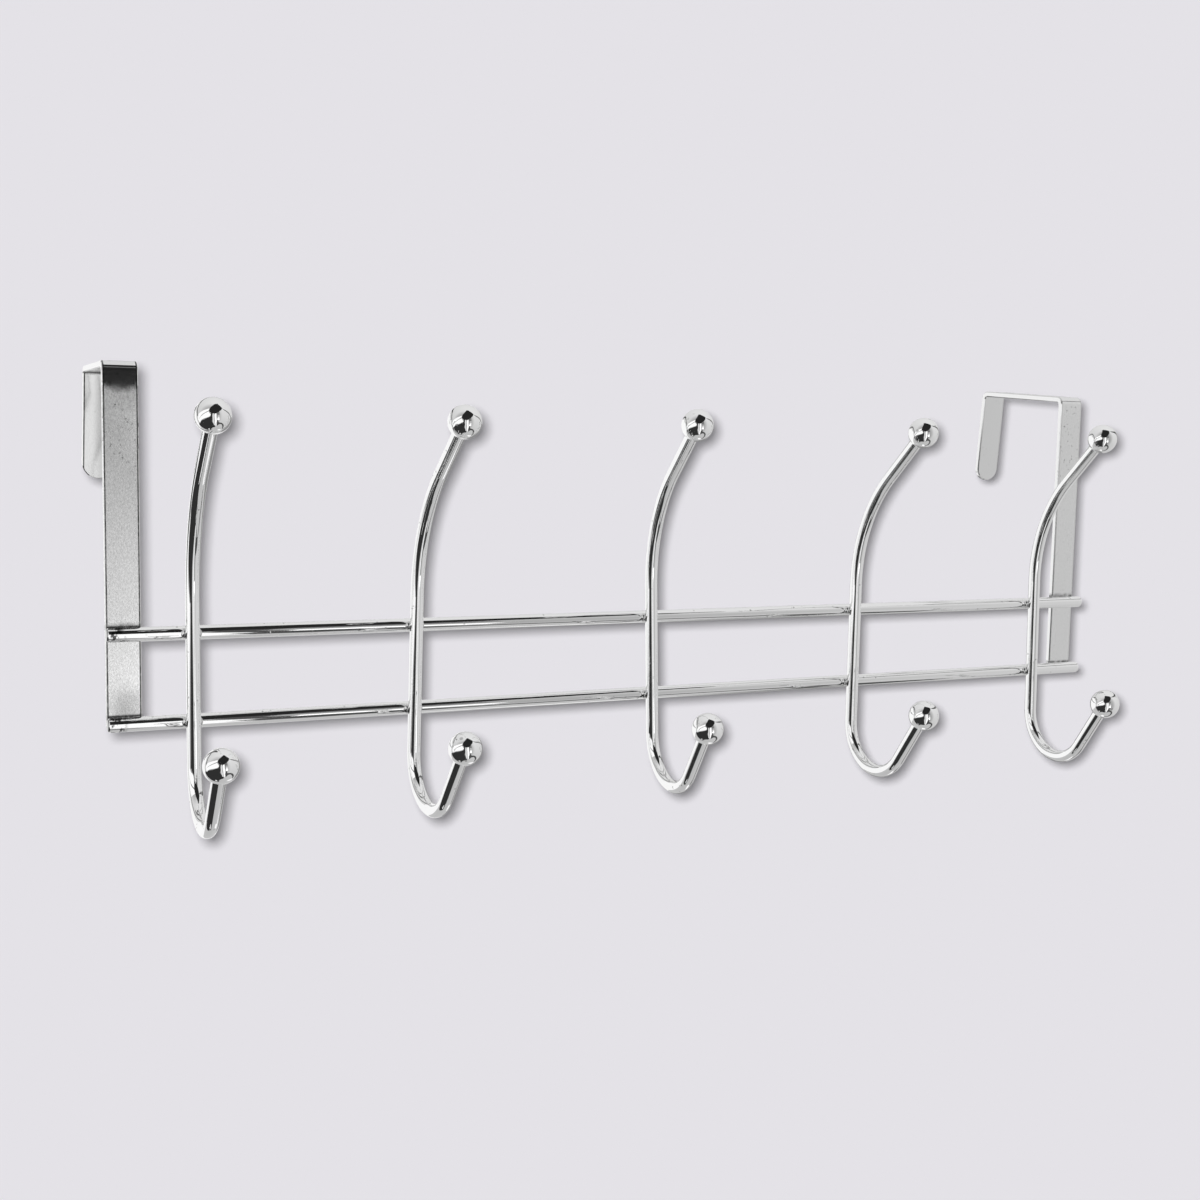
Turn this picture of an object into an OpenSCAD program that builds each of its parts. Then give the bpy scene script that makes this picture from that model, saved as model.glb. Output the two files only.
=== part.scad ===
// Over-door hook rack: two bent flat straps carry two round rails, and five double wire hooks
// with ball ends are welded across the rails. X runs along the rails, -Y faces the room, and
// +Z is up. The origin is on the door's top front edge, in the middle of the rack.

/* [Straps] */
// Width of the flat bar that each strap is bent from
strap_w = 10; // [8:0.5:14]
// Thickness of the flat bar
strap_t = 2; // [1.5:0.1:2.5]
// Chamfer along the edges of the flat bar
strap_edge = 0.3; // [0.1:0.1:0.5]
// Radius inside each of the strap's two bends
strap_bend_r = 1; // [0.6:0.1:2]
// Room for the door between the front leg and the rear tab, just under the plate
door_gap = 43; // [30:0.5:50]
// Length of the rear tab from the underside of the plate to its round end
tab_len = 34; // [25:1:50]
// Lean of the left tab away from the door, in degrees
tab_angle_left = 12; // [0:0.5:14]
// Lean of the right tab away from the door, in degrees
tab_angle_right = 5; // [0:0.5:14]
// Rise of the right plate towards the rear, in degrees
plate_angle_right = 4; // [0:0.5:5]

/* [Rails] */
// Distance between the outer edges of the two straps
rack_w = 359.4; // [330:0.1:420]
// Diameter of each rail
rail_d = 4.2; // [3.6:0.1:5]
// Length of each rail past the right strap
rail_overrun = 1.8; // [0:0.1:3]
// Chamfer round the left ends of the rails, where they are cut square
rail_chamfer = 0.4; // [0.2:0.1:0.8]
// Rounding of the right ends of the rails
rail_end_round = 0.9; // [0.4:0.1:1.4]
// Depth of the upper rail's axis below the underside of the plates
rail_drop = 76.4; // [60:0.5:90]
// Distance between the axes of the two rails at the left end
rail_spacing = 26.3; // [20:0.1:34]
// Height that the lower rail gains by its right end
rail_rise = 0.8; // [0:0.1:1.5]

/* [Hooks] */
// Diameter of the hook wire
wire_d = 4.2; // [3.6:0.1:5]
// Loss of the wire's radius where it is bent
bend_thinning = 0.02; // [0.01:0.01:0.05]
// Distance from the end of the rack to the stem of its first hook
hook_inset = 23.7; // [18:0.1:32]
// Height of the straight stem above the upper rail's axis
stem_above = 9.3; // [5:0.1:14]
// Length of the straight stem below the lower rail's axis
stem_below = 13.1; // [5:0.1:20]
// Bend radius of the upper arm at the wire's axis
arm_r = 51.7; // [40:0.1:60]
// Turn of the upper arm, in degrees
arm_turn = 48; // [35:0.5:60]
// Straight wire from the upper arm's bend to the middle of its ball
arm_tail = 22.7; // [12:0.1:28]
// Bend radius of the lower crook at the wire's axis
crook_r = 15.2; // [10:0.1:20]
// Turn of the lower crook, in degrees
crook_turn = 144; // [120:1:160]
// Straight wire from the lower crook's bend to the middle of its ball
crook_tail = 21.5; // [12:0.1:28]

/* [Balls] */
// Diameter of each ball
ball_d = 10; // [8:0.5:12]
// Depth of the blind hole that takes the wire's end
ball_bore_depth = 4.5; // [2.5:0.1:6]
// Gap all round the wire in the ball's hole
ball_bore_gap = 0.05; // [0.02:0.01:0.1]

/* [Welds] */
// Depth that each bar is set down into the one behind it
weld_set = 0.25; // [0.15:0.05:0.4]

/* [Hidden] */
$fn = 64;

// Where the five hooks were welded. Each list runs from the left hook to the right one.
// Distance off the even spacing, as shares of it
hook_shift_shares = [0, -0.13, -0.075, -0.04, 0];
// Height above the common level, as shares of the wire's diameter
hook_lift_shares = [0, 0, 0.17, 0, -0.12];
// Turn of each hook about its stem, towards the right, in degrees
hook_swivel = [0, 3.2, -1.4, 1.9, -1.7];
// Lean of each stem towards the right, in degrees
hook_lean = [-0.2, 0.9, -1.9, 0, -1.2];

// Overrun of a cut past the surface that it opens
cut_over = 1;
// Extra turn of the flat bar's bends before they are trimmed, in degrees
trim_turn = 5;
// Turn of each small step of a rail's rounded end, in degrees
end_step = 18;
// Lap of a wire bend inside the straight wire at each end
bend_lap = 0.2;
rail_r = rail_d / 2;
wire_r = wire_d / 2;
ball_r = ball_d / 2;
strap_x = (rack_w - strap_w) / 2;
hook_pitch = (rack_w - 2 * hook_inset) / 4;
rail_y = weld_set - strap_t - rail_r;
hook_y = rail_y + weld_set - rail_r - wire_r;
rail_upper_z = -rail_drop;
rail_lower_z = rail_upper_z - rail_spacing;
rail_len = rack_w + rail_overrun;
rail_tilt = atan(rail_rise / rack_w);
leg_bottom_z = rail_lower_z - rail_r / 2;
leg_len = -leg_bottom_z - strap_bend_r;

function hook_x(i) = hook_pitch * (i - 2 + hook_shift_shares[i]);
function hook_lift(i) = wire_d * hook_lift_shares[i];

// Block that trims whatever stands above z = 0
module trim_block() {
    side = 2 * strap_w;
    translate([-strap_w, -strap_w, 0])
        cube([side, side, strap_bend_r]);
}

// Frame where a bend ends. The bend starts at the origin, runs up and turns towards -y.
module past_bend(radius, turn) {
    translate([0, -radius, 0])
        rotate([turn, 0, 0])
            translate([0, radius, 0])
                children();
}

// Straight bar that runs up from the origin, with its inner face on y = 0
module straight_bar(length) {
    linear_extrude(length)
        rotate(90)
            bar_section();
}

// Bend of the flat bar. It is turned a little too far and then trimmed in the frame that the
// next piece starts from.
module bar_bend(turn) {
    difference() {
        translate([0, -strap_bend_r, 0])
            rotate([90, 0, 90])
                rotate_extrude(angle = turn + trim_turn)
                    translate([strap_bend_r, 0])
                        bar_section();
        past_bend(strap_bend_r, turn)
            trim_block();
    }
}

// Bend of the wire. It laps into the straight wire at both ends, where it is slightly thinner.
module wire_bend(radius, turn) {
    lap_turn = atan(bend_lap / radius);
    translate([0, -radius, 0])
        rotate([90, 0, 90])
            rotate(-lap_turn)
                rotate_extrude(angle = turn + 2 * lap_turn)
                    translate([radius, 0])
                        circle(r = wire_r - bend_thinning);
}

// Section of the flat bar: x is measured from the inner face, and y is the width
module bar_section() {
    half = strap_w / 2;
    e = strap_edge;
    polygon([
        [e, -half], [strap_t - e, -half], [strap_t, e - half], [strap_t, half - e],
        [strap_t - e, half], [e, half], [0, half - e], [0, e - half]
    ]);
}

// Full round end of a bar
module bar_round_end() {
    half = strap_w / 2;
    e = strap_edge;
    rotate([90, 0, 180])
        rotate_extrude(angle = 180)
            polygon([
                [0, 0], [half - e, 0], [half, e], [half, strap_t - e],
                [half - e, strap_t], [0, strap_t]
            ]);
}

// One strap: front leg, bend, top plate, bend and rear tab
module strap(rise, splay) {
    front_turn = 90 - rise;
    rear_turn = 90 + rise - splay;
    plate_len = (door_gap - strap_bend_r * (1 + cos(splay))) / cos(rise);
    tab_straight = tab_len - strap_bend_r - strap_w / 2;
    mirror([0, 1, 0]) {
        translate([0, 0, leg_bottom_z])
            straight_bar(leg_len);
        translate([0, 0, -strap_bend_r]) {
            bar_bend(front_turn);
            past_bend(strap_bend_r, front_turn) {
                straight_bar(plate_len);
                translate([0, 0, plate_len]) {
                    bar_bend(rear_turn);
                    past_bend(strap_bend_r, rear_turn) {
                        straight_bar(tab_straight);
                        translate([0, 0, tab_straight])
                            bar_round_end();
                    }
                }
            }
        }
    }
}

module strap_left() {
    color([0.72, 0.72, 0.72])
        translate([-strap_x, 0, 0])
            strap(0, tab_angle_left);
}

module strap_right() {
    color([0.76, 0.76, 0.76])
        translate([strap_x, 0, 0])
            strap(plate_angle_right, tab_angle_right);
}

// Frame of hook i: the wire's axis is the z axis, z = 0 is level with the upper rail, and the
// hook bends out towards -y
module in_hook(i) {
    middle_z = -rail_spacing / 2;
    translate([hook_x(i), hook_y, rail_upper_z + middle_z])
        rotate([0, hook_lean[i], 0])
            translate([0, 0, hook_lift(i) - middle_z])
                rotate([0, 0, hook_swivel[i]])
                    children();
}

module stem() {
    stem_bottom = -rail_spacing - stem_below;
    translate([0, 0, stem_bottom])
        cylinder(h = stem_above - stem_bottom, r = wire_r);
}

// Frames where the upper arm and the lower crook start to bend
module at_arm() {
    translate([0, 0, stem_above])
        children();
}

module at_crook() {
    translate([0, 0, -rail_spacing - stem_below])
        mirror([0, 0, 1])
            children();
}

// Straight end of the wire, which stops at the floor of the hole in its ball
module wire_tail(to_ball) {
    cylinder(h = to_ball - ball_r + ball_bore_depth, r = wire_r);
}

module hook(i) {
    color([0.8, 0.8, 0.8])
        in_hook(i) {
            stem();
            at_arm() {
                wire_bend(arm_r, arm_turn);
                past_bend(arm_r, arm_turn)
                    wire_tail(arm_tail);
            }
            at_crook() {
                wire_bend(crook_r, crook_turn);
                past_bend(crook_r, crook_turn)
                    wire_tail(crook_tail);
            }
        }
}

// Ball with its middle at the given height and a blind hole that opens downwards
module drilled_ball(middle) {
    color([0.85, 0.85, 0.85])
        translate([0, 0, middle])
            difference() {
                sphere(r = ball_r);
                translate([0, 0, -ball_r - cut_over])
                    cylinder(h = cut_over + ball_bore_depth, r = wire_r + ball_bore_gap);
            }
}

module ball_upper(i) {
    in_hook(i)
        at_arm()
            past_bend(arm_r, arm_turn)
                drilled_ball(arm_tail);
}

module ball_lower(i) {
    in_hook(i)
        at_crook()
            past_bend(crook_r, crook_turn)
                drilled_ball(crook_tail);
}

// Round bar along +x: chamfered where it starts and rounded in small steps where it ends
module rail_bar() {
    c = rail_chamfer;
    e = rail_end_round;
    rotate([0, 90, 0])
        rotate_extrude()
            polygon([
                [0, 0], [rail_r - c, 0], [rail_r, c],
                for (turn = [0 : end_step : 90])
                    [rail_r - e + e * cos(turn), rail_len - e + e * sin(turn)],
                [0, rail_len]
            ]);
}

// Flats where the rails lie on the straps' front legs
module strap_seats() {
    for (side = [-1, 1])
        translate([side * strap_x - strap_w / 2, -strap_t, leg_bottom_z - cut_over])
            cube([strap_w, rail_d, leg_len + cut_over]);
}

// Rail with flats for the straps and a saddle for every hook
module rail(z, tilt) {
    color([0.78, 0.78, 0.78])
        difference() {
            translate([-rack_w / 2, rail_y, z])
                rotate([0, -tilt, 0])
                    rail_bar();
            for (i = [0:4])
                in_hook(i)
                    stem();
            strap_seats();
        }
}

module rail_upper() {
    rail(rail_upper_z, 0);
}

module rail_lower() {
    rail(rail_lower_z, rail_tilt);
}

strap_left();
strap_right();
rail_upper();
rail_lower();
hook(0);  // hook_1
hook(1);  // hook_2
hook(2);  // hook_3
hook(3);  // hook_4
hook(4);  // hook_5
ball_upper(0);  // ball_upper_1
ball_upper(1);  // ball_upper_2
ball_upper(2);  // ball_upper_3
ball_upper(3);  // ball_upper_4
ball_upper(4);  // ball_upper_5
ball_lower(0);  // ball_lower_1
ball_lower(1);  // ball_lower_2
ball_lower(2);  // ball_lower_3
ball_lower(3);  // ball_lower_4
ball_lower(4);  // ball_lower_5
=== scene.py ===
"""Looks for the over-door hook rack: plated metal, weld beads and the studio."""

import math

import bmesh
import bpy
from bpy.props import (
    FloatProperty,
    FloatVectorProperty,
    IntProperty,
    PointerProperty,
)
from mathutils import Matrix, Vector


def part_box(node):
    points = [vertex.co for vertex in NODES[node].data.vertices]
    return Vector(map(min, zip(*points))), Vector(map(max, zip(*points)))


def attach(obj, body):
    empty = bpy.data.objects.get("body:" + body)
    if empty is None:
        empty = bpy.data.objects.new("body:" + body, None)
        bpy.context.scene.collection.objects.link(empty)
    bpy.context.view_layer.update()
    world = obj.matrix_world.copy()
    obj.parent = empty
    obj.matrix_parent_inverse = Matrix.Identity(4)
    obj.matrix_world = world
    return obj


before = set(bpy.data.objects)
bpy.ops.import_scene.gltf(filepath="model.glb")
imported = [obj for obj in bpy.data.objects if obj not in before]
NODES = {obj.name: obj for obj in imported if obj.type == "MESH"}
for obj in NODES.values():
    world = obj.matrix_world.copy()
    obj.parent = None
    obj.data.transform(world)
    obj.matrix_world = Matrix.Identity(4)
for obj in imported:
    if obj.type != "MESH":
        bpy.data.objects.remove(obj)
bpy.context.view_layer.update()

bl_info = {
    "name": "Hook rack look",
    "version": (1, 0, 0),
    "blender": (4, 5, 0),
    "location": "View3D > Sidebar > Hook rack",
    "description": "Plated finishes, weld beads and studio for the over-door hook rack",
    "category": "Object",
}

MM = 0.001
HOOKS = [name for name in sorted(NODES) if name.startswith("hook_")]
RAILS = ("rail_upper", "rail_lower")
STRAPS = ("strap_left", "strap_right")
BALLS = [name for name in sorted(NODES) if name.startswith("ball_")]


# Sizes and colours that can be set


class PlatingLook(bpy.types.PropertyGroup):
    """Colour and texture of the plating"""

    bar_color: FloatVectorProperty(
        name="Bar colour",
        description="Colour that the plated flat bar reflects",
        default=(0.86, 0.86, 0.86),
        subtype="COLOR",
        min=0,
        max=1,
    )
    wire_color: FloatVectorProperty(
        name="Wire colour",
        description="Colour that the plated wire reflects",
        default=(0.93, 0.93, 0.93),
        subtype="COLOR",
        min=0,
        max=1,
    )
    ball_color: FloatVectorProperty(
        name="Ball colour",
        description="Colour that the plated balls reflect",
        default=(0.95, 0.95, 0.95),
        subtype="COLOR",
        min=0,
        max=1,
    )
    pit_spacing: FloatProperty(
        name="Pit spacing",
        description="Usual distance between the pits in the plating",
        default=2.2 * MM,
        unit="LENGTH",
        min=0.5 * MM,
        max=10 * MM,
    )


class WeldLook(bpy.types.PropertyGroup):
    """Size of the weld beads"""

    bead_radius: FloatProperty(
        name="Bead radius",
        description="Radius of the weld bead at each side of a crossing",
        default=1.25 * MM,
        unit="LENGTH",
        min=0.5 * MM,
        max=2 * MM,
    )
    bead_detail: IntProperty(
        name="Bead detail",
        description="Subdivisions of each weld bead",
        default=3,
        min=1,
        max=4,
    )


class StudioLook(bpy.types.PropertyGroup):
    """The studio round the rack"""

    backdrop_color: FloatVectorProperty(
        name="Backdrop colour",
        description="Colour of the floor and the backdrop as the camera sees them",
        default=(0.776, 0.761, 0.799),
        subtype="COLOR",
        min=0,
        max=1,
    )
    backdrop_distance: FloatProperty(
        name="Backdrop distance",
        description="Distance from the camera to the backdrop",
        default=3.0,
        unit="LENGTH",
        min=1,
        max=6,
    )
    floor_drop: FloatProperty(
        name="Floor drop",
        description="Distance from the top plates down to the floor",
        default=1.75,
        unit="LENGTH",
        min=0.3,
        max=3,
    )
    key_offset: FloatProperty(
        name="Key offset",
        description="Distance of the lamp to the left of the lens and above it",
        default=2.1 * MM,
        unit="LENGTH",
        min=0.5 * MM,
        max=50 * MM,
    )
    key_radius: FloatProperty(
        name="Key radius",
        description="Radius of the lamp beside the lens",
        default=2.6 * MM,
        unit="LENGTH",
        min=0.5 * MM,
        max=50 * MM,
    )
    key_share: FloatProperty(
        name="Key share",
        description="Share of the light that comes from the lamp beside the lens",
        default=0.68,
        subtype="FACTOR",
        min=0,
        max=1,
    )


# Small helpers


def mesh_object(name, bm):
    mesh = bpy.data.meshes.new(name)
    bm.to_mesh(mesh)
    bm.free()
    obj = bpy.data.objects.new(name, mesh)
    bpy.context.scene.collection.objects.link(obj)
    return obj


def link(tree, source, target):
    tree.links.new(source, target)


def add_node(tree, kind, **values):
    node = tree.nodes.new(kind)
    for key, value in values.items():
        setattr(node, key, value)
    return node


def math_node(tree, operation, a, b=None):
    """Math node whose inputs are sockets or numbers."""
    node = add_node(tree, "ShaderNodeMath", operation=operation)
    for index, value in enumerate((a, b)):
        if value is None:
            continue
        if isinstance(value, bpy.types.NodeSocket):
            link(tree, value, node.inputs[index])
        else:
            node.inputs[index].default_value = value
    return node.outputs[0]


def range_node(tree, value, low, high, to_low=0.0, to_high=1.0):
    """Smooth step of a value from one range to another."""
    node = add_node(tree, "ShaderNodeMapRange", interpolation_type="SMOOTHSTEP")
    link(tree, value, node.inputs["Value"])
    node.inputs["From Min"].default_value = low
    node.inputs["From Max"].default_value = high
    node.inputs["To Min"].default_value = to_low
    node.inputs["To Max"].default_value = to_high
    return node.outputs["Result"]


def noise_node(tree, vector, scale, detail=2.0, roughness=0.5):
    node = add_node(tree, "ShaderNodeTexNoise")
    link(tree, vector, node.inputs["Vector"])
    if isinstance(scale, bpy.types.NodeSocket):
        link(tree, scale, node.inputs["Scale"])
    else:
        node.inputs["Scale"].default_value = scale
    node.inputs["Detail"].default_value = detail
    node.inputs["Roughness"].default_value = roughness
    return node.outputs["Fac"]


def stretched_noise(tree, vector, stretch, detail, roughness):
    """Noise with its own number of cells per metre along each axis."""
    drawn = add_node(tree, "ShaderNodeMapping")
    drawn.inputs["Scale"].default_value = stretch
    link(tree, vector, drawn.inputs["Vector"])
    return noise_node(tree, drawn.outputs[0], 1.0, detail, roughness)


def product(tree, first, *others):
    """Product of sockets or numbers, the first of which is a socket."""
    for other in others:
        first = math_node(tree, "MULTIPLY", first, other)
    return first


def largest(tree, first, *others):
    """Largest of several sockets."""
    for other in others:
        first = math_node(tree, "MAXIMUM", first, other)
    return first


def object_place(tree):
    """Object coordinates, which are the rack's own frame in metres."""
    return add_node(tree, "ShaderNodeTexCoord").outputs["Object"]


def split(tree, vector):
    """X, Y and Z of a vector."""
    parts = add_node(tree, "ShaderNodeSeparateXYZ")
    link(tree, vector, parts.inputs[0])
    return [parts.outputs[axis] for axis in "XYZ"]


def scale_color(tree, shader, factor):
    """Multiplies the colour that a shader gets by a value."""
    color = shader.inputs["Base Color"]
    tint = add_node(tree, "ShaderNodeVectorMath", operation="SCALE")
    link(tree, color.links[0].from_socket, tint.inputs[0])
    link(tree, factor, tint.inputs["Scale"])
    link(tree, tint.outputs[0], color)


# Plating shared by every metal piece. Noise goes from 0 to 1, and a pair of its values,
# here and further down, is where its effect starts and where it is full.

RIPPLE_HEIGHT = 0.02 * MM
PATCH_SCALE = 120.0
PATCH_HAZE = 0.03
PIT_RIM = (0.1, 0.2)
PIT_PATCHES = (0.52, 0.62)
PIT_COLOR = (0.25, 0.25, 0.25, 1)
PIT_ROUGHNESS = 0.3
BALL_PIT_SHARE = 0.6
BEAD_PIT_SHARE = 1.5


def plating_group():
    """Node group for the plating's colour, roughness and height over the surface."""
    name = "Bright plating"
    if name in bpy.data.node_groups:
        return bpy.data.node_groups[name]
    tree = bpy.data.node_groups.new(name, "ShaderNodeTree")
    face = tree.interface
    face.new_socket("Vector", in_out="INPUT", socket_type="NodeSocketVector")
    face.new_socket("Metal", in_out="INPUT", socket_type="NodeSocketColor")
    for label, default in (
        ("Ripple Scale", 60.0),
        ("Ripple", 0.5),
        ("Grain Scale", 900.0),
        ("Grain", 0.1),
        ("Pit Scale", 450.0),
        ("Pits", 0.2),
        ("Polish", 0.05),
    ):
        socket = face.new_socket(label, in_out="INPUT", socket_type="NodeSocketFloat")
        socket.default_value = default
    face.new_socket("Color", in_out="OUTPUT", socket_type="NodeSocketColor")
    face.new_socket("Roughness", in_out="OUTPUT", socket_type="NodeSocketFloat")
    face.new_socket("Height", in_out="OUTPUT", socket_type="NodeSocketFloat")

    given = add_node(tree, "NodeGroupInput").outputs
    made = add_node(tree, "NodeGroupOutput").inputs
    ripple = noise_node(tree, given["Vector"], given["Ripple Scale"], detail=1.0)
    grain = noise_node(
        tree, given["Vector"], given["Grain Scale"], detail=3.0, roughness=0.6
    )
    patches = noise_node(tree, given["Vector"], PATCH_SCALE)

    # Pits are the cells' middles, kept only where the patchy noise is high
    cells = add_node(tree, "ShaderNodeTexVoronoi")
    link(tree, given["Vector"], cells.inputs["Vector"])
    link(tree, given["Pit Scale"], cells.inputs["Scale"])
    middle = range_node(tree, cells.outputs["Distance"], *PIT_RIM, 1.0, 0.0)
    where = range_node(tree, patches, *PIT_PATCHES)
    pits = product(tree, middle, where, given["Pits"])

    darker = add_node(tree, "ShaderNodeMix", data_type="RGBA")
    link(tree, pits, darker.inputs["Factor"])
    link(tree, given["Metal"], darker.inputs["A"])
    darker.inputs["B"].default_value = PIT_COLOR
    link(tree, darker.outputs["Result"], made["Color"])

    rough = math_node(
        tree, "ADD", given["Polish"], product(tree, patches, PATCH_HAZE)
    )
    rough = math_node(tree, "ADD", rough, product(tree, pits, PIT_ROUGHNESS))
    link(tree, rough, made["Roughness"])

    height = math_node(
        tree,
        "ADD",
        product(tree, ripple, given["Ripple"]),
        product(tree, grain, given["Grain"]),
    )
    height = math_node(tree, "SUBTRACT", height, pits)
    link(tree, height, made["Height"])
    return tree


def plated_material(name, metal, bump, **settings):
    """Principled metal whose colour, roughness and bump come from the plating group.

    The settings are the group's inputs, and bump is the length of one unit of height.
    """
    material = bpy.data.materials.new(name)
    material.use_nodes = True
    tree = material.node_tree
    shader = tree.nodes["Principled BSDF"]
    shader.inputs["Metallic"].default_value = 1.0
    group = add_node(tree, "ShaderNodeGroup", node_tree=plating_group())
    link(tree, object_place(tree), group.inputs["Vector"])
    group.inputs["Metal"].default_value = (*metal, 1)
    for label, value in settings.items():
        group.inputs[label.replace("_", " ").title()].default_value = value
    lift = add_node(tree, "ShaderNodeBump")
    lift.inputs["Strength"].default_value = 1.0
    lift.inputs["Distance"].default_value = bump
    link(tree, group.outputs["Height"], lift.inputs["Height"])
    link(tree, group.outputs["Color"], shader.inputs["Base Color"])
    link(tree, group.outputs["Roughness"], shader.inputs["Roughness"])
    link(tree, lift.outputs["Normal"], shader.inputs["Normal"])
    return material


def dress(names, material):
    """Gives CAD nodes their material."""
    for name in names:
        for slot in NODES[name].material_slots:
            slot.material = material


# Marks, painted shade and painted reflections on the straps. Strengths go from 0 for
# none to 1 for black.

FRONT_DEPTH = -1.5 * MM
TAB_DEPTH = 20 * MM
RAGGED_SCALE = 500.0

GRAIN_STRETCH = (2600, 2600, 1300)
GRAIN_NOISE = (0.3, 0.7)
GRAIN_DARK, GRAIN_LIGHT = -0.14, 0.1
GRAIN_RIGHT_SHARE = 0.25
GRAIN_REAR_SHARE = 0.3

SCRATCH_STRETCH = (1500, 1500, 800)
SCRATCH_NOISE = (0.6, 0.68)
SCRATCH_STRENGTH = 0.75
SCRATCH_PATCH_SCALE = 330.0
SCRATCH_PATCHES = (0.46, 0.6)
SCRATCHED_FROM, SCRATCHED_TO = -36 * MM, -24 * MM
SCRATCH_LOW_SHARE = 0.2

# Painted reflection: dark lines along the straps' rolled edges
EDGE_LINE_INNER = (4.3 * MM, 4.5 * MM)
EDGE_LINE_OUTER = (4.72 * MM, 4.86 * MM)
EDGE_LINE_NOISE = (0.3, 0.6)
EDGE_LINE_STRENGTH = (0.7, 0.95)

# Weld scorch with painted contact shade, just above each rail on the straps
SCORCH_AND_SHADE_REACH = {"rail_upper": 1.7 * MM, "rail_lower": 0.9 * MM}
SCORCH_AND_SHADE_BEHIND_RAIL = 1.0 * MM
SCORCH_AND_SHADE_NOISE = (0.35, 0.65)
SCORCH_AND_SHADE_STRENGTH = (0.25, 0.8)

# Painted shade on the left strap's tab, placed across from the strap's middle
TAB_PAINTED_SHADE_ACROSS = (-2.4 * MM, 0.6 * MM)
TAB_PAINTED_SHADE = 0.34

# Painted shade in streaks under the left strap's plate
STREAK_STRETCH = (900, 60, 900)
STREAK_NOISE = (0.35, 0.65)
STREAK_SHADE_STRENGTH = (0.5, 0.85)
STREAK_DEPTH = 2.5 * MM
STREAK_HEIGHT = 0.3 * MM

SATIN_HEIGHTS = (-7 * MM, -2.5 * MM)
SATIN_FLAT, SATIN_BEND = 0.11, 0.02

TWIST = 0.108
BEND_LEAN = 0.2
BEND_LEAN_HEIGHTS = (-6.4 * MM, -3.5 * MM)
BEND_LEAN_END = (-1.0 * MM, 0.2 * MM)
BEND_BULGE = -0.06 / MM
BEND_RAGGED = 2.5 * MM
GLINT_HEIGHT = 0.1 * MM
GLINT_SPREAD = (0.04 * MM, 0.2 * MM)
GLINT_LEAN = -0.3


class StrapSpot:
    """Sockets that say where on the straps a point lies."""

    def __init__(self, tree):
        self.tree = tree
        self.place = object_place(tree)
        self.x, self.y, self.z = split(tree, self.place)
        self.left = math_node(tree, "LESS_THAN", self.x, 0.0)
        self.front = math_node(tree, "LESS_THAN", self.y, FRONT_DEPTH)
        self.ragged = noise_node(
            tree, self.place, RAGGED_SCALE, detail=4.0, roughness=0.6
        )

        # Grain and the painted edge reflections are fainter on the right strap
        left_share = product(tree, self.left, 1 - GRAIN_RIGHT_SHARE)
        self.amount = math_node(tree, "ADD", left_share, GRAIN_RIGHT_SHARE)


def strap_middle(strap):
    low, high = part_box(strap)
    return (low.x + high.x) / 2


def rail_tops(rail):
    """Heights of a rail's top at the left strap and at the right strap."""
    low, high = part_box(rail)
    left_z = low.z + (high.y - low.y)
    tops = []
    for strap in STRAPS:
        share = (strap_middle(strap) - low.x) / (high.x - low.x)
        tops.append(left_z + (high.z - left_z) * share)
    return tops


def strap_grain(spot):
    """Fine grain as a brightness near 1, calmer on the top plates and the tabs."""
    tree = spot.tree
    fine = stretched_noise(
        tree, spot.place, GRAIN_STRETCH, detail=3.0, roughness=0.65
    )
    grain = range_node(tree, fine, *GRAIN_NOISE, GRAIN_DARK, GRAIN_LIGHT)
    front_share = product(tree, spot.front, 1 - GRAIN_REAR_SHARE)
    front_share = math_node(tree, "ADD", front_share, GRAIN_REAR_SHARE)
    grain = product(tree, grain, spot.amount, front_share)
    return math_node(tree, "ADD", grain, 1.0)


def strap_scratches(spot):
    """Short dark scratches on the fronts, gathered below the bends."""
    tree = spot.tree
    coarse = stretched_noise(
        tree, spot.place, SCRATCH_STRETCH, detail=2.0, roughness=0.6
    )
    scratches = range_node(tree, coarse, *SCRATCH_NOISE, 0.0, SCRATCH_STRENGTH)
    patch = noise_node(tree, spot.place, SCRATCH_PATCH_SCALE, detail=1.0)
    patch = range_node(tree, patch, *SCRATCH_PATCHES)
    high = range_node(
        tree, spot.z, SCRATCHED_FROM, SCRATCHED_TO, SCRATCH_LOW_SHARE, 1.0
    )
    return product(tree, scratches, patch, high, spot.front)


def strap_edge_reflections(spot):
    """Painted reflection: dark lines where the bar's edges are rolled over."""
    tree = spot.tree
    lines = []
    for strap in STRAPS:
        across = math_node(tree, "SUBTRACT", spot.x, strap_middle(strap))
        across = math_node(tree, "ABSOLUTE", across)
        inner = range_node(tree, across, *EDGE_LINE_INNER)
        outer = range_node(tree, across, *EDGE_LINE_OUTER, 1.0, 0.0)
        lines.append(product(tree, inner, outer))
    line_strength = range_node(tree, spot.ragged, *EDGE_LINE_NOISE, *EDGE_LINE_STRENGTH)
    return product(tree, largest(tree, *lines), line_strength, spot.amount)


def strap_scorch_and_shade(spot):
    """Dark rims above the rails' welds: partly weld scorch, partly painted shade where
    strap and rail meet.
    """
    tree = spot.tree
    rims = []
    for rail in RAILS:
        left_top, right_top = rail_tops(rail)
        line = product(tree, spot.left, left_top - right_top)
        line = math_node(tree, "ADD", line, right_top)
        above = math_node(tree, "SUBTRACT", spot.z, line)
        rim = range_node(tree, above, 0.0, SCORCH_AND_SHADE_REACH[rail], 1.0, 0.0)
        near = math_node(tree, "GREATER_THAN", above, -SCORCH_AND_SHADE_BEHIND_RAIL)
        rims.append(product(tree, rim, near))
    burn_and_shade = range_node(tree, spot.ragged, *SCORCH_AND_SHADE_NOISE, *SCORCH_AND_SHADE_STRENGTH)
    return product(tree, largest(tree, *rims), burn_and_shade)


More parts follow.
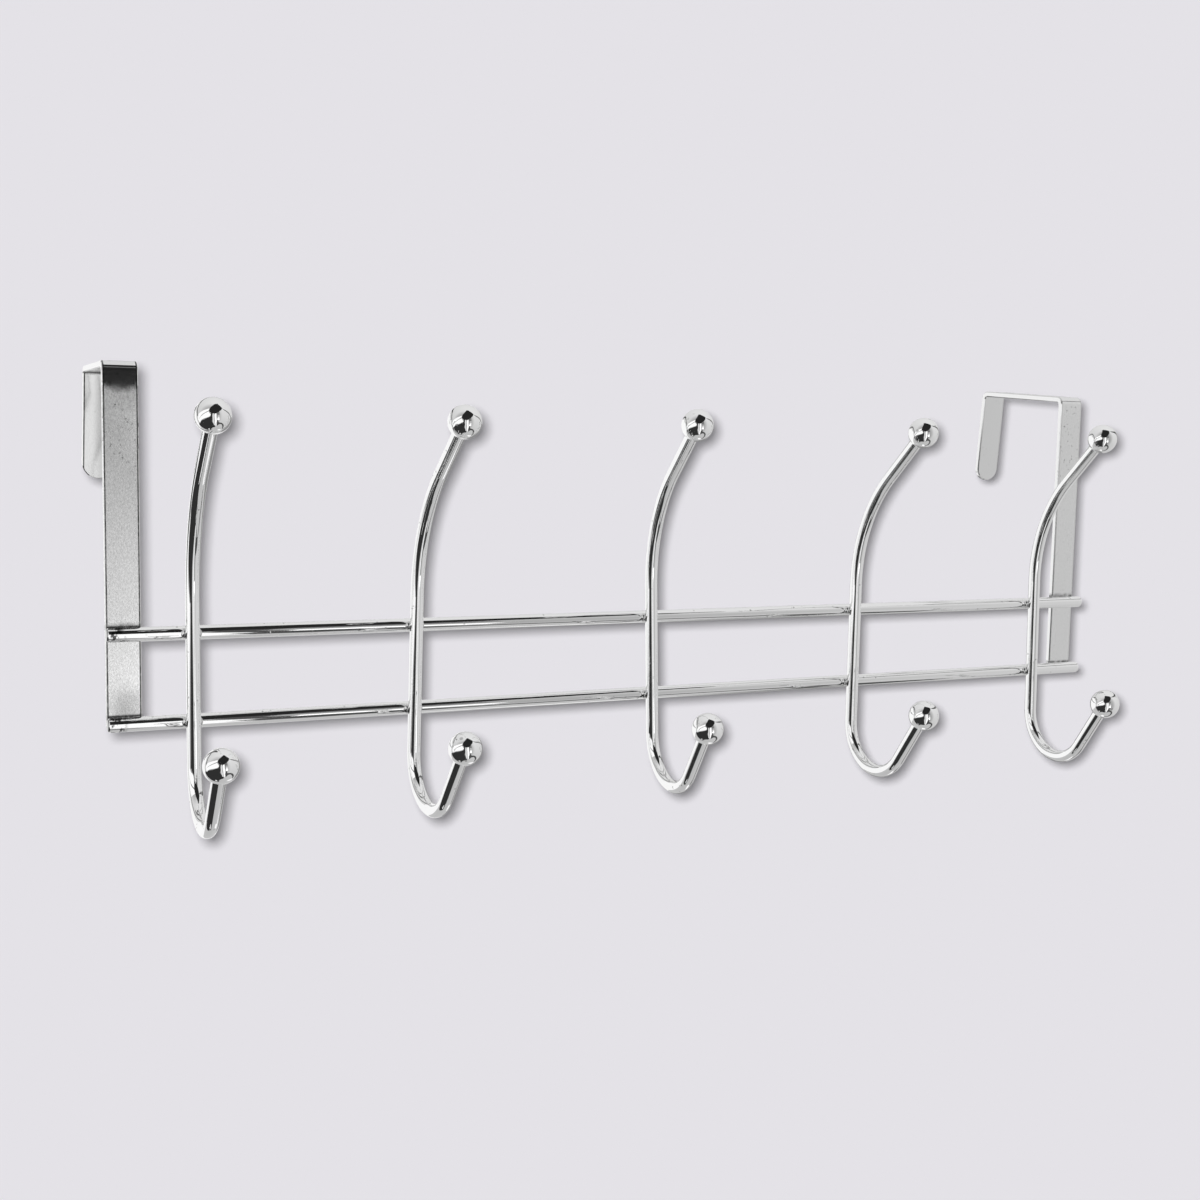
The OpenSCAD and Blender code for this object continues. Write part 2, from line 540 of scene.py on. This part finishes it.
def left_tab_painted_shade(spot):
    """Painted shade: grey on the inner part of the left strap's tab, darker towards its
    right.
    """
    tree = spot.tree
    middle = strap_middle("strap_left")
    start, end = (middle + across for across in TAB_PAINTED_SHADE_ACROSS)
    shade = range_node(tree, spot.x, start, end, 0.0, TAB_PAINTED_SHADE)
    rear = math_node(tree, "GREATER_THAN", spot.y, TAB_DEPTH)
    return product(tree, shade, rear, spot.left)


def left_plate_shade_streaks(spot):
    """Painted shade in dark streaks under the left strap's plate, whose underside is at
    height zero.
    """
    tree = spot.tree
    streaks = stretched_noise(
        tree, spot.place, STREAK_STRETCH, detail=2.0, roughness=0.6
    )
    streaks = range_node(tree, streaks, *STREAK_NOISE, *STREAK_SHADE_STRENGTH)
    level = math_node(tree, "ABSOLUTE", spot.z)
    level = math_node(tree, "LESS_THAN", level, STREAK_HEIGHT)
    inside = math_node(tree, "GREATER_THAN", spot.y, STREAK_DEPTH)
    return product(tree, streaks, level, inside, spot.left)


def left_strap_lean(spot):
    """Lean of the left strap's front, which is twisted and curves into its bend."""
    tree = spot.tree
    across = math_node(tree, "SUBTRACT", spot.x, strap_middle("strap_left"))
    bulge = product(tree, across, across, BEND_BULGE)
    wavy = product(tree, spot.ragged, BEND_RAGGED)
    height = math_node(tree, "ADD", spot.z, wavy)
    height = math_node(tree, "ADD", height, bulge)
    curve = range_node(tree, height, *BEND_LEAN_HEIGHTS, 0.0, BEND_LEAN)
    curve = product(tree, curve, range_node(tree, spot.z, *BEND_LEAN_END, 1.0, 0.0))
    glint = math_node(tree, "SUBTRACT", spot.z, GLINT_HEIGHT)
    glint = math_node(tree, "ABSOLUTE", glint)
    glint = range_node(tree, glint, *GLINT_SPREAD, GLINT_LEAN, 0.0)
    curve = math_node(tree, "ADD", curve, glint)
    lean = add_node(tree, "ShaderNodeCombineXYZ")
    lean.inputs["X"].default_value = TWIST
    link(tree, curve, lean.inputs["Z"])
    twist = add_node(tree, "ShaderNodeVectorMath", operation="SCALE")
    link(tree, lean.outputs[0], twist.inputs[0])
    link(tree, product(tree, spot.left, spot.front), twist.inputs["Scale"])
    return twist.outputs[0]


class RACK_OT_plate_straps(bpy.types.Operator):
    """Gives the two straps their plated finish, with grain, scratches, scorch, painted
    shade and painted edge reflections
    """

    bl_idname = "hook_rack.plate_straps"
    bl_label = "Plate the straps"

    def execute(self, context):
        look = context.scene.hook_rack_plating
        material = plated_material(
            "bar plating",
            look.bar_color,
            RIPPLE_HEIGHT,
            ripple_scale=170.0,
            ripple=0.3,
            grain_scale=1500.0,
            grain=0.12,
            pit_scale=1 / look.pit_spacing,
            pits=0.1,
            polish=0.08,
        )
        tree = material.node_tree
        shader = tree.nodes["Principled BSDF"]
        spot = StrapSpot(tree)
        # Real marks, painted shade and painted reflections darken the colour together
        marks_and_shade = largest(
            tree,
            strap_scorch_and_shade(spot),
            strap_scratches(spot),
            strap_edge_reflections(spot),
            left_tab_painted_shade(spot),
            left_plate_shade_streaks(spot),
        )
        bright = math_node(tree, "SUBTRACT", 1.0, marks_and_shade)
        scale_color(tree, shader, product(tree, bright, strap_grain(spot)))

        # The flats are a little duller than the bends
        satin = range_node(tree, spot.z, *SATIN_HEIGHTS, SATIN_FLAT, SATIN_BEND)
        rough = shader.inputs["Roughness"]
        satin = product(tree, satin, spot.front)
        satin = math_node(tree, "ADD", rough.links[0].from_socket, satin)
        link(tree, satin, rough)

        normal = shader.inputs["Normal"]
        bent = add_node(tree, "ShaderNodeVectorMath", operation="ADD")
        link(tree, normal.links[0].from_socket, bent.inputs[0])
        link(tree, left_strap_lean(spot), bent.inputs[1])
        even = add_node(tree, "ShaderNodeVectorMath", operation="NORMALIZE")
        link(tree, bent.outputs[0], even.inputs[0])
        link(tree, even.outputs[0], normal)
        dress(STRAPS, material)
        return {"FINISHED"}


# Soot in the dents at the rails' left ends, at distances from the end
SOOT_FADE = (3 * MM, 6 * MM)
SOOT_START = (0.7 * MM, 1.1 * MM)
SOOT_SCALE = 520.0
SOOT_NOISE = (0.49, 0.55)
SOOT_STRENGTH = 0.9
SOOT_LIP = (0.1 * MM, 0.4 * MM)
SOOT_LIP_STRENGTH = 0.75


def rail_end_soot(tree):
    """Ragged soot behind each rail's left end and a dark line round the end's lip."""
    place = object_place(tree)
    end_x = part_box("rail_upper")[0].x
    reach = math_node(tree, "SUBTRACT", split(tree, place)[0], end_x)
    soot = noise_node(tree, place, SOOT_SCALE, detail=3.0, roughness=0.6)
    soot = product(
        tree,
        range_node(tree, soot, *SOOT_NOISE, 0.0, SOOT_STRENGTH),
        range_node(tree, reach, *SOOT_FADE, 1.0, 0.0),
        range_node(tree, reach, *SOOT_START),
    )
    lip = range_node(tree, reach, *SOOT_LIP, SOOT_LIP_STRENGTH, 0.0)
    return largest(tree, soot, lip)


class RACK_OT_plate_wire(bpy.types.Operator):
    """Gives the rails and the hooks their bright plating"""

    bl_idname = "hook_rack.plate_wire"
    bl_label = "Plate the rails and hooks"

    def execute(self, context):
        look = context.scene.hook_rack_plating
        material = plated_material(
            "wire plating",
            look.wire_color,
            RIPPLE_HEIGHT,
            ripple_scale=150.0,
            ripple=0.4,
            grain_scale=1300.0,
            grain=0.05,
            pit_scale=1 / look.pit_spacing,
            pits=0.5,
            polish=0.03,
        )
        tree = material.node_tree
        shader = tree.nodes["Principled BSDF"]
        bright = math_node(tree, "SUBTRACT", 1.0, rail_end_soot(tree))
        scale_color(tree, shader, bright)
        dress([*RAILS, *HOOKS], material)
        return {"FINISHED"}


class RACK_OT_plate_balls(bpy.types.Operator):
    """Gives the balls their mirror plating"""

    bl_idname = "hook_rack.plate_balls"
    bl_label = "Plate the balls"

    def execute(self, context):
        look = context.scene.hook_rack_plating
        material = plated_material(
            "ball plating",
            look.ball_color,
            RIPPLE_HEIGHT,
            ripple_scale=260.0,
            ripple=0.25,
            grain_scale=1500.0,
            grain=0.02,
            pit_scale=BALL_PIT_SHARE / look.pit_spacing,
            pits=0.5,
            polish=0.02,
        )
        dress(BALLS, material)
        return {"FINISHED"}


# Weld beads, as shares of their radius and as places beside a stem and a rail
BEAD_SHAPE = (0.9, 0.8, 1.15)
BEAD_ASIDE = 1.9 * MM
BEAD_DEPTH = 0.1 * MM
BEAD_RIPPLE_HEIGHT = 0.12 * MM
BEAD_BRIGHTNESS = 0.75
REAR_LINE_DEPTH = 0.03 * MM


def stem_line(hook):
    """Two points on the straight stem's rear, read from the hook's rearmost line."""
    points = [v.co for v in NODES[hook].data.vertices]
    rear = max(p.y for p in points) - REAR_LINE_DEPTH
    line = sorted((p for p in points if p.y > rear), key=lambda p: p.z)
    middle = (line[0].z + line[-1].z) / 2
    lower = [p for p in line if p.z < middle]
    upper = [p for p in line if p.z >= middle]
    return [sum(part, Vector()) / len(part) for part in (lower, upper)]


def crossing(rail, hook):
    """Point at the front of a rail where a hook's stem crosses it."""
    low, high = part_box(rail)
    bottom, top = stem_line(hook)
    rail_radius = (high.y - low.y) / 2
    share = (bottom.x - low.x) / (high.x - low.x)
    left_z = low.z + rail_radius
    right_z = high.z - rail_radius
    z = left_z + (right_z - left_z) * share
    x = bottom.x + (top.x - bottom.x) * (z - bottom.z) / (top.z - bottom.z)
    return Vector((x, low.y, z))


class RACK_OT_add_welds(bpy.types.Operator):
    """Adds the weld beads where the hooks cross the rails"""

    bl_idname = "hook_rack.add_welds"
    bl_label = "Add the weld beads"

    def execute(self, context):
        look = context.scene.hook_rack_welds
        plating = context.scene.hook_rack_plating
        material = plated_material(
            "weld plating",
            [BEAD_BRIGHTNESS * c for c in plating.wire_color],
            BEAD_RIPPLE_HEIGHT,
            ripple_scale=700.0,
            ripple=1.2,
            grain_scale=1800.0,
            grain=0.5,
            pit_scale=BEAD_PIT_SHARE / plating.pit_spacing,
            pits=1.0,
            polish=0.12,
        )
        for rail in RAILS:
            for hook in HOOKS:
                middle = crossing(rail, hook)
                bm = bmesh.new()
                for side in (-1, 1):
                    made = bmesh.ops.create_icosphere(
                        bm, subdivisions=look.bead_detail, radius=look.bead_radius
                    )["verts"]
                    bmesh.ops.scale(bm, vec=BEAD_SHAPE, verts=made)
                    place = middle + Vector((side * BEAD_ASIDE, BEAD_DEPTH, 0))
                    bmesh.ops.translate(bm, vec=place, verts=made)
                for face in bm.faces:
                    face.smooth = True
                level, number = rail.split("_")[1], hook.split("_")[1]
                bead = mesh_object(f"weld_{level}_{number}", bm)
                bead.data.materials.append(material)
                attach(bead, "root")
        return {"FINISHED"}


# Stage

CAMERA_TURN, CAMERA_TILT, CAMERA_ROLL = -25.13, -5.91, -1.09
SIGHT = (
    Matrix.Rotation(math.radians(CAMERA_TURN), 3, "Z")
    @ Matrix.Rotation(math.radians(CAMERA_TILT), 3, "X")
    @ Matrix.Rotation(math.radians(CAMERA_ROLL), 3, "Y")
)
CAMERA_PLACE = Vector((-0.2352, -0.4553, -0.0187))
CAMERA_LENS = 45.57
CAMERA_SENSOR = 36.0
CAMERA_CLIP = (0.01, 20.0)
STUDIO_CENTRE = Vector((0.0, -0.02, -0.06))
STUDIO_RADIUS = 0.8
PANEL_STEP = 2 * MM
PANEL_CUTS = 3
PAPER_HALF_WIDTH = 2.5
PAPER_LIFT_LIMIT = 1.25

# Brightness of the tent that reflections see between the panels
TENT_LEVEL = 0.65
TENT_RIGHT_GAIN = 0.05
TENT_TOP_GAIN = 0.13
TENT_NEAR_LOSS = 0.3
TENT_NEAR = (0.25, 0.8)

# Power at which a lamp without falloff lights white paper to white
LAMP_POWER = 4 * math.pi * math.pi

# Panels of the studio as the balls mirror them. Each has its brightness, or a list of
# heights in degrees with their brightness, and then its corners as degrees to the right
# of the camera and above it.
PANELS = {
    "light_back": (
        1.0,
        [(-168, -28), (-168, 18), (-125, 26), (-94, 10), (-96, -20), (-125, -30)],
    ),
    "shade_back": (0.27, [(153, -42), (151, 4), (168, 8), (186, 6), (186, -38)]),
    "light_under": (1.0, [(148, -52), (146, -72), (172, -74), (170, -52)]),
    "gap_high": (
        0.02,
        [
            (-21, 22),
            (-17, 42),
            (-2, 62),
            (12, 74),
            (40, 74),
            (62, 58),
            (72, 46),
            (58, 34),
            (44, 26),
            (33, 16),
            (24, 6),
            (17, 0),
            (2, 5),
        ],
    ),
    "gap_low": (
        0.03,
        [
            (1, 14),
            (-8, 16),
            (-8, -3),
            (-14, -9),
            (-30, -13),
            (-45, -17),
            (-64, -17),
            (-100, -20),
            (-106, -50),
            (-110, -70),
            (-60, -73),
            (0, -76),
            (18, -72),
            (12, -60),
            (-2, -45),
            (-6, -33),
            (2, -20),
            (-1, -8),
        ],
    ),
    "line_low": (0.9, [(-97, -59), (-80, -57), (-80, -64), (-99, -66)]),
    "light_left": (
        1.05,
        [
            (-21, 34),
            (-20, 17),
            (-8, 2),
            (-16, -7),
            (-32, -11),
            (-60, -14),
            (-84, -22),
            (-86, -8),
            (-76, 8),
            (-45, 24),
        ],
    ),
    "stand_left": (0.1, [(-15, 26), (-15, 22), (-62, -2), (-82, -12), (-62, 0)]),
    "light_near": (0.75, [(1, 9), (8, 10), (9, -30), (14, -62), (4, -62), (0, -35)]),
    "light_right": (
        1.1,
        [
            (11.5, 8),
            (23, 12),
            (24, -10),
            (29, -35),
            (40, -58),
            (22, -68),
            (15, -45),
            (12, -10),
        ],
    ),
    "seam": (
        0.08,
        [
            (25, 17),
            (29, 17),
            (28, -8),
            (34, -30),
            (46, -42),
            (75, -42),
            (110, -45),
            (150, -50),
            (150, -56),
            (110, -54),
            (78, -50),
            (56, -54),
            (42, -67),
            (32, -63),
            (27, -48),
            (29, -34),
            (25, -8),
        ],
    ),
    "seam_right": (
        0.07,
        [(64, 44), (92, 35), (122, 22), (155, 4), (155, 0), (120, 17), (90, 30)],
    ),
    "seam_left": (
        0.07,
        [
            (-80, 2),
            (-85, 16),
            (-97, 30),
            (-116, 38),
            (-138, 36),
            (-165, 21),
            (-165, 17),
            (-136, 31),
            (-116, 33),
            (-100, 26),
            (-90, 14),
            (-86, 2),
        ],
    ),
    "screen": (
        [
            (-22, 1.8),
            (-18.8, 1.6),
            (-17.4, 1.15),
            (-16, 0.98),
            (-14.4, 0.93),
            (-11.2, 0.9),
            (-7.6, 0.74),
            (-4, 0.45),
            (-1.5, 0.27),
            (2, 0.2),
        ],
        [(29.5, 19), (42, 22), (44, -26), (30.5, -26)],
    ),
}


def seen_from_camera(right, up):
    """Direction at the given degrees to the right of the camera and above it."""
    turn, rise = math.radians(right), math.radians(up)
    flat = math.cos(rise)
    return SIGHT @ Vector(
        (flat * math.sin(turn), -flat * math.cos(turn), math.sin(rise))
    )


def glow_material(name, level):
    """Light of one brightness, or of brightnesses that change with the height."""
    material = bpy.data.materials.new(name)
    material.use_nodes = True
    material.cycles.emission_sampling = "NONE"
    tree = material.node_tree
    tree.nodes.clear()
    glow = add_node(tree, "ShaderNodeEmission")
    out = add_node(tree, "ShaderNodeOutputMaterial")
    link(tree, glow.outputs[0], out.inputs["Surface"])
    if isinstance(level, float):
        glow.inputs["Strength"].default_value = level
        return material
    upward = SIGHT @ Vector((0, 0, 1))
    up = add_node(tree, "ShaderNodeVectorMath", operation="DOT_PRODUCT")
    link(tree, object_place(tree), up.inputs[0])
    up.inputs[1].default_value = upward
    centre = STUDIO_CENTRE.dot(upward)
    heights = [
        centre + STUDIO_RADIUS * math.sin(math.radians(angle)) for angle, _ in level
    ]
    where = add_node(tree, "ShaderNodeMapRange")
    link(tree, up.outputs["Value"], where.inputs["Value"])
    where.inputs["From Min"].default_value = heights[0]
    where.inputs["From Max"].default_value = heights[-1]
    ramp = add_node(tree, "ShaderNodeValToRGB")
    link(tree, where.outputs["Result"], ramp.inputs["Fac"])
    stops = ramp.color_ramp.elements
    span = heights[-1] - heights[0]
    for index, (height, (_, value)) in enumerate(zip(heights, level)):
        share = (height - heights[0]) / span
        stop = stops.new(share) if index else stops[0]
        stop.position = share
        stop.color = (value, value, value, 1)
    link(tree, ramp.outputs["Color"], glow.inputs["Color"])
    return material


def build_panels():
    """Panels that only reflections see."""
    for order, (name, (level, corners)) in enumerate(PANELS.items()):
        # Later panels stand a little nearer, so that they cover the earlier ones
        radius = STUDIO_RADIUS - order * PANEL_STEP
        bm = bmesh.new()
        verts = [bm.verts.new((*corner, 0)) for corner in corners]
        rim = [bm.edges.new(pair) for pair in zip(verts, verts[1:] + verts[:1])]
        bmesh.ops.triangle_fill(bm, edges=rim, use_beauty=True, normal=(0, 0, 1))
        bmesh.ops.subdivide_edges(
            bm, edges=bm.edges[:], cuts=PANEL_CUTS, use_grid_fill=True
        )
        for vert in bm.verts:
            vert.co = STUDIO_CENTRE + radius * seen_from_camera(*vert.co.xy)
        panel = mesh_object("studio_" + name, bm)
        panel.data.materials.append(glow_material("studio " + name, level))
        panel.visible_camera = False
        panel.visible_diffuse = False
        panel.visible_shadow = False
        panel.visible_transmission = False


def build_surroundings(look):
    """World light: even for all but reflections, which see a pale tent."""
    world = bpy.data.worlds.new("studio")
    bpy.context.scene.world = world
    world.use_nodes = True
    tree = world.node_tree
    tree.nodes.clear()
    place = add_node(tree, "ShaderNodeTexCoord")
    parts = {}
    for label, axis in (
        ("right", SIGHT @ Vector((1, 0, 0))),
        ("near", SIGHT @ Vector((0, -1, 0))),
        ("up", SIGHT @ Vector((0, 0, 1))),
    ):
        node = add_node(tree, "ShaderNodeVectorMath", operation="DOT_PRODUCT")
        link(tree, place.outputs["Generated"], node.inputs[0])
        node.inputs[1].default_value = axis
        parts[label] = node.outputs["Value"]
    tent = product(tree, parts["right"], TENT_RIGHT_GAIN)
    tent = math_node(tree, "ADD", tent, TENT_LEVEL)
    tent = math_node(tree, "ADD", tent, product(tree, parts["up"], TENT_TOP_GAIN))
    near = range_node(tree, parts["near"], *TENT_NEAR, 0.0, TENT_NEAR_LOSS)
    tent = math_node(tree, "SUBTRACT", tent, near)

    path = add_node(tree, "ShaderNodeLightPath")
    even = add_node(tree, "ShaderNodeBackground")
    even.inputs["Color"].default_value = (1, 1, 1, 1)
    even.inputs["Strength"].default_value = 1 - look.key_share
    mirrored = add_node(tree, "ShaderNodeBackground")
    mirrored.inputs["Color"].default_value = (1, 1, 1, 1)
    link(tree, tent, mirrored.inputs["Strength"])
    pale = add_node(tree, "ShaderNodeBackground")
    pale.inputs["Color"].default_value = (*look.backdrop_color, 1)
    first = add_node(tree, "ShaderNodeMixShader")
    link(tree, path.outputs["Is Glossy Ray"], first.inputs["Fac"])
    link(tree, even.outputs[0], first.inputs[1])
    link(tree, mirrored.outputs[0], first.inputs[2])
    second = add_node(tree, "ShaderNodeMixShader")
    link(tree, path.outputs["Is Camera Ray"], second.inputs["Fac"])
    link(tree, first.outputs[0], second.inputs[1])
    link(tree, pale.outputs[0], second.inputs[2])
    out = add_node(tree, "ShaderNodeOutputWorld")
    link(tree, second.outputs[0], out.inputs["Surface"])


def key_place(look):
    offset = Vector((-look.key_offset, 0.0, look.key_offset))
    return CAMERA_PLACE + SIGHT @ offset


def paper_material(name, look, facing):
    """Matt pale paper that comes out even under the lamp and is clear from behind."""
    material = bpy.data.materials.new(name)
    material.use_nodes = True
    tree = material.node_tree
    shader = tree.nodes["Principled BSDF"]
    shader.inputs["Roughness"].default_value = 1.0
    shader.inputs["Specular IOR Level"].default_value = 0.0

    away = add_node(tree, "ShaderNodeVectorMath", operation="SUBTRACT")
    away.inputs[0].default_value = key_place(look)
    link(tree, object_place(tree), away.inputs[1])
    ray = add_node(tree, "ShaderNodeVectorMath", operation="NORMALIZE")
    link(tree, away.outputs[0], ray.inputs[0])
    slope = add_node(tree, "ShaderNodeVectorMath", operation="DOT_PRODUCT")
    link(tree, ray.outputs[0], slope.inputs[0])
    slope.inputs[1].default_value = facing
    lit = product(tree, slope.outputs["Value"], look.key_share)
    lit = math_node(tree, "ADD", lit, 1 - look.key_share)
    even = math_node(tree, "DIVIDE", 1.0, lit)
    even = math_node(tree, "MINIMUM", even, PAPER_LIFT_LIMIT)
    tint = add_node(tree, "ShaderNodeVectorMath", operation="SCALE")
    tint.inputs[0].default_value = look.backdrop_color
    link(tree, even, tint.inputs["Scale"])
    link(tree, tint.outputs[0], shader.inputs["Base Color"])

    side = add_node(tree, "ShaderNodeNewGeometry")
    clear = add_node(tree, "ShaderNodeBsdfTransparent")
    mix = add_node(tree, "ShaderNodeMixShader")
    link(tree, side.outputs["Backfacing"], mix.inputs["Fac"])
    link(tree, shader.outputs[0], mix.inputs[1])
    link(tree, clear.outputs[0], mix.inputs[2])
    link(tree, mix.outputs[0], tree.nodes["Material Output"].inputs["Surface"])
    return material


def build_paper(look):
    """Backdrop far behind the rack, square to the camera, and a floor below it."""
    far = CAMERA_PLACE + SIGHT @ Vector((0, look.backdrop_distance, 0))
    upright = Matrix.Translation(far) @ SIGHT.to_4x4()
    upright @= Matrix.Rotation(math.radians(90), 4, "X")
    level = Matrix.Translation((0, 0, -look.floor_drop))
    for name, turn in (("backdrop", upright), ("floor", level)):
        bm = bmesh.new()
        bmesh.ops.create_grid(bm, x_segments=1, y_segments=1, size=PAPER_HALF_WIDTH)
        bmesh.ops.transform(bm, matrix=turn, verts=bm.verts[:])
        paper = mesh_object(name, bm)
        facing = turn.to_3x3() @ Vector((0, 0, 1))
        paper.data.materials.append(paper_material(name + " paper", look, facing))
        # The paper takes the rack's shadow, but it is not mirrored and lights nothing
        paper.visible_glossy = False
        paper.visible_diffuse = False
        paper.visible_shadow = False


def build_key(look):
    """Small lamp beside the lens, with no falloff."""
    lamp = bpy.data.lights.new("key", "POINT")
    lamp.shadow_soft_size = look.key_radius
    lamp.use_nodes = True
    tree = lamp.node_tree
    glow = tree.nodes["Emission"]
    even = add_node(tree, "ShaderNodeLightFalloff")
    even.inputs["Strength"].default_value = look.key_share
    link(tree, even.outputs["Constant"], glow.inputs["Strength"])
    lamp.energy = LAMP_POWER
    key = bpy.data.objects.new("key", lamp)
    bpy.context.scene.collection.objects.link(key)
    key.location = key_place(look)
    key.visible_glossy = False


def build_camera():
    lens = bpy.data.cameras.new("photo view")
    lens.sensor_fit = "HORIZONTAL"
    lens.sensor_width = CAMERA_SENSOR
    lens.lens = CAMERA_LENS
    lens.clip_start, lens.clip_end = CAMERA_CLIP
    camera = bpy.data.objects.new("photo view", lens)
    bpy.context.scene.collection.objects.link(camera)
    turn = SIGHT @ Matrix.Rotation(math.radians(90), 3, "X")
    camera.matrix_world = Matrix.Translation(CAMERA_PLACE) @ turn.to_4x4()
    bpy.context.scene.camera = camera


class RACK_OT_build_stage(bpy.types.Operator):
    """Builds the floor, the backdrop, the lights, the panels and the camera"""

    bl_idname = "hook_rack.build_stage"
    bl_label = "Build the studio"

    def execute(self, context):
        look = context.scene.hook_rack_studio
        build_paper(look)
        build_panels()
        build_surroundings(look)
        build_key(look)
        build_camera()
        context.scene.view_settings.view_transform = "Standard"
        return {"FINISHED"}


GROUPS = {
    "hook_rack_plating": PlatingLook,
    "hook_rack_welds": WeldLook,
    "hook_rack_studio": StudioLook,
}
OPERATORS = (
    RACK_OT_plate_straps,
    RACK_OT_plate_wire,
    RACK_OT_plate_balls,
    RACK_OT_add_welds,
    RACK_OT_build_stage,
)


class RACK_PT_looks(bpy.types.Panel):
    """Lists the rack's settings and steps"""

    bl_idname = "RACK_PT_looks"
    bl_label = "Hook rack"
    bl_space_type = "VIEW_3D"
    bl_region_type = "UI"
    bl_category = "Hook rack"

    def draw(self, context):
        for group_name, kind in GROUPS.items():
            group = getattr(context.scene, group_name)
            box = self.layout.box()
            for name in kind.__annotations__:
                box.prop(group, name)
        for step in OPERATORS:
            self.layout.operator(step.bl_idname)


def register():
    for cls in (*GROUPS.values(), *OPERATORS, RACK_PT_looks):
        bpy.utils.register_class(cls)
    for name, cls in GROUPS.items():
        setattr(bpy.types.Scene, name, PointerProperty(type=cls))


def unregister():
    for name in GROUPS:
        delattr(bpy.types.Scene, name)
    for cls in reversed((*GROUPS.values(), *OPERATORS, RACK_PT_looks)):
        bpy.utils.unregister_class(cls)


def main():
    register()
    bpy.ops.hook_rack.plate_straps()
    bpy.ops.hook_rack.plate_wire()
    bpy.ops.hook_rack.plate_balls()
    bpy.ops.hook_rack.add_welds()
    bpy.ops.hook_rack.build_stage()


if __name__ == "__main__":
    main()
